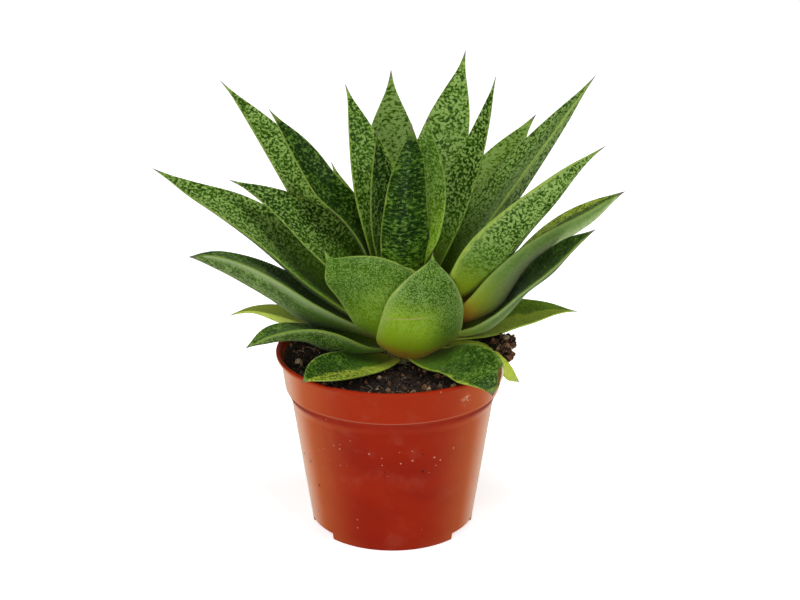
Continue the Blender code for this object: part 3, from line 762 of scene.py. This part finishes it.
# %% [markdown]
# ## Pot
# The pot is moulded from thin plastic, so it is one shell of revolution: a flat floor, a tapered
# wall, a wider collar that lets pots stack without jamming, and a thick rim. Half of its section is
# drawn as a row of points and spun round. Its ring edges are then rounded one by one, each with its
# own radius, because the mould's fillets differ: large where the collar starts, small at the rim.
# The four drain pockets at the foot are blocks bent round the pot, joined on and hollowed out. A
# ring of points just above them keeps the shading of the wall whole, and a facet that a cut leaves
# open is filled.

# %% Spin the shell
POT_STEPS = 144
FLOOR_TOP = 1.3
SHELL = (
    (0.0, FLOOR_TOP), (35.4, FLOOR_TOP), (36.12, 6.0), (44.8, 62.7), (47.4, 67.3), (49.5, 81.9),
    (50.9, 83.5), (52.5, 83.5), (52.5, 81.9), (50.6, 81.9), (48.5, 67.0), (45.9, 62.4), (37.22, 6.0),
    (36.3, 0.0), (0.0, 0.0),
)
FILLETS = (((52.5, 83.5), 0.5), ((50.9, 83.5), 0.4), ((52.5, 81.9), 0.3), ((50.6, 81.9), 0.5),
           ((48.5, 67.0), 0.6), ((45.9, 62.4), 2.6), ((47.4, 67.3), 1.6), ((44.8, 62.7), 2.6),
           ((36.3, 0.0), 0.9))


def spin_profile(points, steps):
    """A closed shell of revolution from half its section, in millimetres."""
    shape = bmesh.new()
    verts = [shape.verts.new((radius * MM, 0.0, height * MM)) for radius, height in points]
    edges = [shape.edges.new(pair) for pair in zip(verts, verts[1:])]
    bmesh.ops.spin(shape, geom=verts + edges, axis=UP, cent=(0, 0, 0), angle=math.tau, steps=steps,
                   use_merge=True)
    bmesh.ops.remove_doubles(shape, verts=shape.verts, dist=0.000001)
    bmesh.ops.recalc_face_normals(shape, faces=shape.faces)
    return shape


def round_ring(shape, radius, height, fillet):
    """Bevel the ring of edges at a radius and a height, in millimetres."""
    def on_ring(vert):
        return abs(vert.co.xy.length / MM - radius) < 0.01 and abs(vert.co.z / MM - height) < 0.01
    ring = [edge for edge in shape.edges if all(on_ring(vert) for vert in edge.verts)]
    bmesh.ops.bevel(shape, geom=ring, offset=fillet * MM, segments=4, profile=0.5, affect="EDGES",
                    material=-1)


shape = spin_profile(SHELL, POT_STEPS)
for (radius, height), fillet in FILLETS:
    round_ring(shape, radius, height, fillet)
pot_shell = place("pot_shell", shape)
print("pot triangles:", triangles(pot_shell))

# %% Drain pockets
POCKET_TURNS = (25.0, 155.0, 205.0, 335.0)
POCKET_ANGLE = 40.0
POCKET_SKIN_ANGLE = 2.2
POCKET_STEPS = 16
POCKET_BLOCK = (26.5, 36.15, 0.8, 4.7)
POCKET_ROOM = (27.7, 40.3, -1.0, 3.5)
HOLE_RADIUS = 3.0
HOLE_DEPTH = 6.0
HOLE_REACH = 31.4
HOLE_HEIGHT = 4.7
SHARP_ANGLE = math.radians(35.0)


def bent_block(name, inner, outer, low, high, turn, angle):
    """A block bent round the pot's axis, in millimetres and degrees."""
    shape = bmesh.new()
    corners = ((inner, low), (outer, low), (outer, high), (inner, high))
    start = shape.faces.new([shape.verts.new((radius * MM, 0.0, height * MM))
                             for radius, height in corners])
    bmesh.ops.rotate(shape, verts=shape.verts, cent=(0, 0, 0),
                     matrix=Matrix.Rotation(math.radians(turn - angle / 2), 3, "Z"))
    bmesh.ops.spin(shape, geom=[start], axis=UP, cent=(0, 0, 0), steps=POCKET_STEPS,
                   angle=math.radians(angle))
    bmesh.ops.recalc_face_normals(shape, faces=shape.faces)
    return place(name, shape)


def drain_hole(name, turn):
    """A round plug for the hole in a pocket's roof."""
    shape = bmesh.new()
    bmesh.ops.create_cone(shape, cap_ends=True, segments=32, radius1=HOLE_RADIUS * MM,
                          radius2=HOLE_RADIUS * MM, depth=HOLE_DEPTH * MM)
    out = Matrix.Translation((HOLE_REACH * MM, 0.0, HOLE_HEIGHT * MM))
    where = Matrix.Rotation(math.radians(turn), 4, "Z") @ out
    bmesh.ops.transform(shape, matrix=where, verts=shape.verts)
    return place(name, shape)


def mend(piece):
    """Merge a piece's doubled points and fill what a cut left open."""
    shape = bmesh.new()
    shape.from_mesh(piece.data)
    bmesh.ops.remove_doubles(shape, verts=shape.verts, dist=0.000001)
    bmesh.ops.holes_fill(shape, edges=[edge for edge in shape.edges if edge.is_boundary], sides=0)
    bmesh.ops.recalc_face_normals(shape, faces=shape.faces)
    print("open edges:", sum(len(edge.link_faces) != 2 for edge in shape.edges))
    shape.to_mesh(piece.data)
    shape.free()


def combine(piece, others, operation):
    """Join the others to a piece, or cut them from it, and remove them."""
    for other in others:
        change = piece.modifiers.new(other.name, "BOOLEAN")
        change.operation = operation
        change.solver = "EXACT"
        change.object = other
    bake(piece)
    for other in others:
        bpy.data.objects.remove(other, do_unlink=True)


combine(pot_shell, [bent_block(f"pocket_{turn:.0f}", *POCKET_BLOCK, turn, POCKET_ANGLE)
                    for turn in POCKET_TURNS], "UNION")
ROOM_ANGLE = POCKET_ANGLE - 2 * POCKET_SKIN_ANGLE
rooms = [bent_block(f"room_{turn:.0f}", *POCKET_ROOM, turn, ROOM_ANGLE) for turn in POCKET_TURNS]
combine(pot_shell, rooms + [drain_hole(f"hole_{turn:.0f}", turn) for turn in POCKET_TURNS], "DIFFERENCE")
mend(pot_shell)
pot_shell.data.shade_smooth()
pot_shell.data.set_sharp_from_angle(angle=SHARP_ANGLE)
print("pot triangles:", triangles(pot_shell))

# %% [markdown]
# ### Dusty satin plastic
# The plastic is a deep terracotta red with a satin gloss. The collar is a little lighter, with a
# painted highlight along its foot and a thin painted shade just below it. The sides carry a painted
# reflection of the bright surround, so the colour is painted orange and then pale where the wall is
# seen at a slant, and faces that look up, such as the rim's top, carry painted shade. Potting leaves
# a haze of dust and a few specks of soil.
# Specks are a group, because the soil has them too: small cells, of which only those with a low
# random number show.

# %% Specks of dust
def make_specks():
    """A group: scattered specks, in metres on any piece."""
    group, given, result = new_group(
        "specks", [("Position", "vector"), ("Scale", "value"), ("Share", "value"), ("Radius", "value")],
        [("Specks", "value")])
    cells = add_node(group, "TexVoronoi", {"feature": "F1"}, Vector=given["Position"],
                     Scale=given["Scale"], Randomness=1.0)
    draw = add_node(group, "SeparateColor", Color=cells.outputs["Color"]).outputs
    chosen = maths("LESS_THAN", draw["Red"], given["Share"])
    radius = times(given["Radius"], plus(times(draw["Green"], 0.7), 0.3))
    inside = step(cells.outputs["Distance"], times(radius, 1.15), radius)
    feed(result["Specks"], times(chosen, inside))
    return group


specks_group = make_specks()
print("group:", specks_group.name)

# %% The pot's material
POT_RED = (0.235, 0.01, 0.001)
DEEP_RED_AND_SHADE = (0.2, 0.007, 0.001)
COLLAR_RED = (0.3, 0.022, 0.003)
EDGE_REFLECTION_WARM = (0.44, 0.11, 0.03)
EDGE_REFLECTION_PALE = (0.88, 0.64, 0.5)
COLLAR_FOOT = 0.0674
PALE_SPECKS = 380.0
DARK_SPECKS = 300.0
PALE_DUST_AND_HIGHLIGHT = (0.62, 0.4, 0.28)
DARK_SOIL_AND_SHADE = (0.02, 0.012, 0.008)
CRUST_MIDDLE = (0.0335, -0.0385, 0.0745)


def make_pot_plastic():
    """Satin plastic with dust, painted reflections and painted shade."""
    made, tree, shader = new_material("pot_plastic", Roughness=0.36, Specular_IOR_Level=0.15,
                                      Specular_Tint=(1.0, 0.5, 0.3))
    where = add_node(tree, "TexCoord").outputs["Object"]
    place_parts = add_node(tree, "SeparateXYZ", Vector=where).outputs
    height = place_parts["Z"]
    flow = cloud(stretch(where, (30.0, 30.0, 60.0)), 1.0, 3.0)
    under = maths("ABSOLUTE", minus(height, COLLAR_FOOT - 0.0007))
    over = maths("ABSOLUTE", minus(height, COLLAR_FOOT + 0.0002))
    haze = times(step(cloud(where, 90.0, 4.0, 0.6), 0.5, 0.75), 0.03)
    band = times(step(height, 0.036, 0.047), step(height, 0.058, 0.05))
    share = plus(times(band, 0.55), 0.03)
    pale = use_group(tree, specks_group, Position=where, Scale=PALE_SPECKS, Share=share, Radius=0.2)
    shifted = add_node(tree, "Mapping", Vector=where, Location=(0.3, 0.1, 0.2)).outputs[0]
    dirty = step(place_parts["X"], -0.03, -0.04, 0.02, 0.35)
    dark = use_group(tree, specks_group, Position=shifted, Scale=DARK_SPECKS, Share=dirty, Radius=0.22)
    away = add_node(tree, "VectorMath", {"operation": "DISTANCE"})
    feed(away.inputs[0], where)
    feed(away.inputs[1], CRUST_MIDDLE)
    near = step(away.outputs["Value"], 0.0045, 0.001)
    crust = times(near, step(cloud(where, 900.0, 2.0), 0.5, 0.6))
    facing = add_node(tree, "LayerWeight", Blend=0.5).outputs["Facing"]
    normal = add_node(tree, "TexCoord").outputs["Normal"]
    level = maths("ABSOLUTE", add_node(tree, "SeparateXYZ", Vector=normal).outputs["Z"])
    upright = step(level, 0.5, 0.22)
    colour = cover(
        blend(step(flow, 0.3, 0.7), DEEP_RED_AND_SHADE, POT_RED),
        (step(height, COLLAR_FOOT, COLLAR_FOOT + 0.0006, 0.0, 0.6), COLLAR_RED),
        # Painted shade in a thin dark line under the collar's foot, and a painted highlight in a pale
        # line along it.
        (step(under, 0.0007, 0.0001, 0.0, 0.12), DARK_SOIL_AND_SHADE),
        (step(over, 0.0004, 0.0001, 0.0, 0.14), PALE_DUST_AND_HIGHLIGHT),
        (haze, PALE_DUST_AND_HIGHLIGHT),
        (times(pale["Specks"], 0.38), PALE_DUST_AND_HIGHLIGHT),
        (times(crust, 0.75), PALE_DUST_AND_HIGHLIGHT),
        # Painted shade: faces that look up, such as the rim's top, are darkened.
        (step(level, 0.4, 0.8, 0.0, 0.7), DEEP_RED_AND_SHADE),
        # Painted reflection of the bright surround: orange, then pale, where the wall is seen at a
        # slant.
        (times(step(facing, 0.2, 0.8), upright), EDGE_REFLECTION_WARM),
        (times(step(facing, 0.53, 1.07), upright), EDGE_REFLECTION_PALE),
        (times(dark["Specks"], 0.8), DARK_SOIL_AND_SHADE))
    feed(shader.inputs["Base Color"], colour)
    rough = step(cloud(where, 160.0, 3.0), 0.3, 0.75, 0.33, 0.46)
    feed(shader.inputs["Roughness"], plus(rough, times(maths("MAXIMUM", crust, haze), 0.3)))
    roughen(shader, 0.12, 0.00005, cloud(where, 2500.0, 2.0))
    return made


pot_shell.data.materials.append(make_pot_plastic())
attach(pot_shell, "root")
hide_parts("pot")
print("pot finished")

# %% [markdown]
# ## Soil
# Potting soil is a dark, open mix of peat, bark and fibres. One closed body fills the pot: its top
# is a fine disc of rings, raised and lowered by three sizes of noise. Hundreds of small crumbs lie on
# it, each a rough little lump, then come pale fibres, and at the right a heap of bark that stands
# over the rim.

# %% The bed
SOIL_LEVEL = 78.5
SOIL_EDGE = 48.4
SOIL_BANK = 2.8
BANK_START = 34.0
SOIL_RINGS = 64
SOIL_STEPS = 200
SOIL_SIDE = ((45.9, 67.6), (44.3, 62.4), (35.7, 5.05), (0.0, 5.05))
SOIL_NOISE = ((13.0, 3.1, 1.1), (3.6, 7.7, 1.3), (1.5, 2.2, 0.6))
CROWN_X, CROWN_Y, CROWN_RADIUS = 6.0, 5.0, 11.0


def soil_height(x, y):
    """Height of the soil's rough top, all in millimetres."""
    bank = SOIL_BANK * max(0.0, (math.hypot(x, y) - BANK_START) / (SOIL_EDGE - BANK_START)) ** 2
    height = SOIL_LEVEL + bank
    for size, seed, rise in SOIL_NOISE:
        height += noise.noise(Vector((x / size, y / size, seed))) * rise
    return height


def make_bed():
    """The closed body of soil with its rough top."""
    top = [(SOIL_EDGE * ring / SOIL_RINGS, SOIL_LEVEL) for ring in range(SOIL_RINGS + 1)]
    side = [(SOIL_EDGE - 0.2, SOIL_LEVEL - 1.6), *SOIL_SIDE]
    shape = spin_profile(top + side, SOIL_STEPS)
    for vert in shape.verts:
        if vert.co.z > (SOIL_LEVEL - 0.1) * MM:
            vert.co.z = soil_height(vert.co.x / MM, vert.co.y / MM) * MM
    return place("soil_bed", shape)


soil_bed = make_bed()
soil_bed.data.shade_smooth()
print("soil triangles:", triangles(soil_bed))

# %% Crumbs, pebbles and bark
Heap = namedtuple("Heap", "reach turn height radius chips")
HEAPS = (
    Heap(43.0, 9.0, 80.5, 5.4, 22),
    Heap(46.0, 7.0, 86.0, 4.2, 22),
    Heap(46.7, -10.0, 88.0, 2.8, 22),
    Heap(50.6, -6.0, 90.0, 2.8, 24),
    Heap(52.8, -5.5, 89.0, 2.6, 24),
    Heap(50.6, -11.5, 87.0, 2.7, 24),
    Heap(53.0, -12.0, 85.2, 2.4, 24),
    Heap(51.9, 0.0, 86.4, 2.8, 20),
)
PEBBLES = ((-41.9, -10.0, 2.3), (9.0, -41.5, 1.3), (-2.0, -38.0, 1.2), (16.0, -44.0, 1.2),
           (27.0, -38.5, 1.4))
CRUMB_COUNT = 1500
CRUMB_SPREAD = ((0.8, 1.5), (0.7, 1.1), (0.5, 0.9))
random.seed(7)


def add_crumb(shape, middle, size, fine, kind, seed):
    """One rough lump in a bmesh, in millimetres."""
    tint = shape.verts.layers.float["kind"]
    made = bmesh.ops.create_icosphere(shape, subdivisions=2 if fine else 1, radius=1.0)["verts"]
    axis = Vector((random.random(), random.random(), 0.3)).normalized()
    turn = Matrix.Rotation(random.uniform(0, math.tau), 4, axis)
    flat = Matrix.Diagonal((size[0], size[1], size[2], 1.0))
    for vert in made:
        vert[tint] = kind
        vert.co *= 1.0 + 0.55 * noise.noise(vert.co * 1.4 + Vector((seed, 0.0, 0.5)))
    where = Matrix.Translation(middle * MM) @ turn @ flat @ Matrix.Scale(MM, 4)
    bmesh.ops.transform(shape, matrix=where, verts=made)


def new_crumb_mesh():
    """A bmesh whose points carry the kind of lump that they belong to."""
    shape = bmesh.new()
    shape.verts.layers.float.new("kind")
    return shape


shape = new_crumb_mesh()
for number in range(CRUMB_COUNT):
    reach = (SOIL_EDGE - 1.2) * math.sqrt(random.random())
    turn = random.uniform(0.0, math.tau)
    x, y = reach * math.cos(turn), reach * math.sin(turn)
    if math.hypot(x - CROWN_X, y - CROWN_Y) < CROWN_RADIUS + 1.0:
        continue
    size = 0.4 + 1.1 * random.random() ** 2.5
    spread = [size * random.uniform(*limits) for limits in CRUMB_SPREAD]
    middle = Vector((x, y, soil_height(x, y) + size * 0.25))
    add_crumb(shape, middle, spread, size > 1.35, random.random(), number)
for number, (x, y, size) in enumerate(PEBBLES):
    middle = Vector((x, y, soil_height(x, y) + size * 0.4))
    add_crumb(shape, middle, (size, size * 0.8, size * 0.8), True, 0.99, 3000 + number)
crumbs = place("soil_crumbs", shape)
shape = new_crumb_mesh()
for number, heap in enumerate(HEAPS):
    turn = math.radians(heap.turn)
    middle = Vector((heap.reach * math.cos(turn), heap.reach * math.sin(turn), heap.height))
    add_crumb(shape, middle, (heap.radius * 0.8,) * 3, True, 0.15, number)
    for chip in range(heap.chips):
        way = Vector((random.gauss(0, 1), random.gauss(0, 1), random.gauss(0, 1))).normalized()
        size = random.uniform(0.7, 1.7)
        spread = (size * 1.5, size, size * 0.45)
        kind = random.uniform(0.5, 1.0)
        add_crumb(shape, middle + way * heap.radius * 0.82, spread, False, kind, 50 * number + chip)
bark = place("bark_heap", shape)
print("crumb triangles:", triangles(crumbs) + triangles(bark))

# %% Fibres
FIBRE_COUNT = 90
FIBRE_RADIUS = 0.07
FIBRE_POINTS = 6


def make_fibres():
    """Thin bent fibres lying on the soil, as one mesh."""
    line = bpy.data.curves.new("fibres", "CURVE")
    line.dimensions = "3D"
    line.bevel_depth = FIBRE_RADIUS * MM
    line.bevel_resolution = 1
    line.use_fill_caps = True
    for _ in range(FIBRE_COUNT):
        reach = (SOIL_EDGE - 3.0) * math.sqrt(random.random())
        turn = random.uniform(0.0, math.tau)
        point = Vector((reach * math.cos(turn), reach * math.sin(turn), 0.0))
        heading = random.uniform(0.0, math.tau)
        spline = line.splines.new("POLY")
        spline.points.add(FIBRE_POINTS - 1)
        lift = random.uniform(0.3, 1.6)
        for index, knot in enumerate(spline.points):
            inside = min(1.0, (SOIL_EDGE - 1.0) / max(point.xy.length, 0.1))
            x, y = point.x * inside, point.y * inside
            rise = 0.15 + lift * math.sin(math.pi * index / (FIBRE_POINTS - 1))
            knot.co = (x * MM, y * MM, (soil_height(x, y) + rise) * MM, 1.0)
            heading += random.uniform(-0.5, 0.5)
            point += Vector((math.cos(heading), math.sin(heading), 0.0)) * random.uniform(0.5, 1.1)
    piece = add_object("soil_fibres", line)
    mesh = as_mesh(piece)
    bpy.data.objects.remove(piece, do_unlink=True)
    return add_object("soil_fibres", mesh)


fibres = make_fibres()
print("fibre triangles:", triangles(fibres))

# %% Soil materials
PEAT_DARK = (0.005, 0.003, 0.002)
PEAT_BROWN = (0.03, 0.016, 0.01)
PEAT_SHADE = (0.006, 0.004, 0.003)
FLECK = (0.2, 0.13, 0.08)
FIBRE_BROWN = (0.1, 0.05, 0.025)
FIBRE_PALE = (0.45, 0.36, 0.27)
LUMP_COLOURS = ((0.0, (0.008, 0.005, 0.004)), (0.4, (0.026, 0.014, 0.009)),
                (0.66, (0.1, 0.046, 0.02)), (0.85, (0.23, 0.11, 0.046)),
                (0.965, (0.4, 0.28, 0.16)))


def make_soil_skin():
    """Dark peat with brown and grey grains."""
    made, tree, shader = new_material("soil_skin", Roughness=0.95, Specular_IOR_Level=0.2)
    where = add_node(tree, "TexCoord").outputs["Object"]
    grains = cloud(where, 700.0, 3.0, 0.65)
    colour = blend(step(grains, 0.4, 0.65), PEAT_DARK, PEAT_BROWN)
    flecks = use_group(tree, specks_group, Position=where, Scale=650.0, Share=0.08, Radius=0.3)
    colour = blend(times(flecks["Specks"], 0.6), colour, FLECK)
    feed(shader.inputs["Base Color"], colour)
    roughen(shader, 0.8, 0.0004, grains)
    return made


def make_crumb_skin():
    """Peat, bark and grit: each lump's kind picks its colour."""
    made, tree, shader = new_material("crumb_skin", Roughness=0.9, Specular_IOR_Level=0.25)
    where = add_node(tree, "TexCoord").outputs["Object"]
    kind = attribute(tree, "kind")
    ramp = add_node(tree, "ValToRGB", Fac=kind)
    bar = ramp.color_ramp
    bar.interpolation = "CONSTANT"
    while len(bar.elements) < len(LUMP_COLOURS):
        bar.elements.new(1.0)
    for element, (at, tint) in zip(bar.elements, LUMP_COLOURS):
        element.position = at
        element.color = (*tint, 1.0)
    grain = cloud(where, 1600.0, 3.0, 0.6)
    shown = step(grain, 0.35, 0.7, 0.25, 1.0)
    colour = blend(shown, PEAT_SHADE, ramp.outputs["Color"])
    feed(shader.inputs["Base Color"], colour)
    roughen(shader, 0.6, 0.0003, grain)
    return made


def make_fibre_skin():
    """Dry pale fibre."""
    made, tree, shader = new_material("fibre_skin", Roughness=0.8)
    where = add_node(tree, "TexCoord").outputs["Object"]
    colour = blend(cloud(where, 250.0, 1.0), FIBRE_BROWN, FIBRE_PALE)
    feed(shader.inputs["Base Color"], colour)
    return made


soil_bed.data.materials.append(make_soil_skin())
crumb_skin = make_crumb_skin()
crumbs.data.materials.append(crumb_skin)
bark.data.materials.append(crumb_skin)
fibres.data.materials.append(make_fibre_skin())
for piece in (soil_bed, crumbs, bark, fibres):
    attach(piece, "root")
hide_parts("soil")
print("soil finished")

# %% [markdown]
# ## Crown
# The short stem between the leaves is nearly hidden. It keeps its measured shape and gets a matt,
# sheathed, brownish green.

# %% The crown's material
SHEATH_BROWN = (0.05, 0.035, 0.012)
SHEATH_GREEN = (0.14, 0.15, 0.03)


def make_crown_skin():
    """Old leaf sheaths round the stem."""
    made, tree, shader = new_material("crown_skin", Roughness=0.6)
    where = add_node(tree, "TexCoord").outputs["Object"]
    streak = cloud(stretch(where, (900.0, 900.0, 90.0)), 1.0, 3.0)
    colour = blend(step(streak, 0.35, 0.65), SHEATH_BROWN, SHEATH_GREEN)
    feed(shader.inputs["Base Color"], colour)
    return made


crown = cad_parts["crown"]
crown.data.materials.clear()
crown.data.materials.append(make_crown_skin())
print("crown finished")
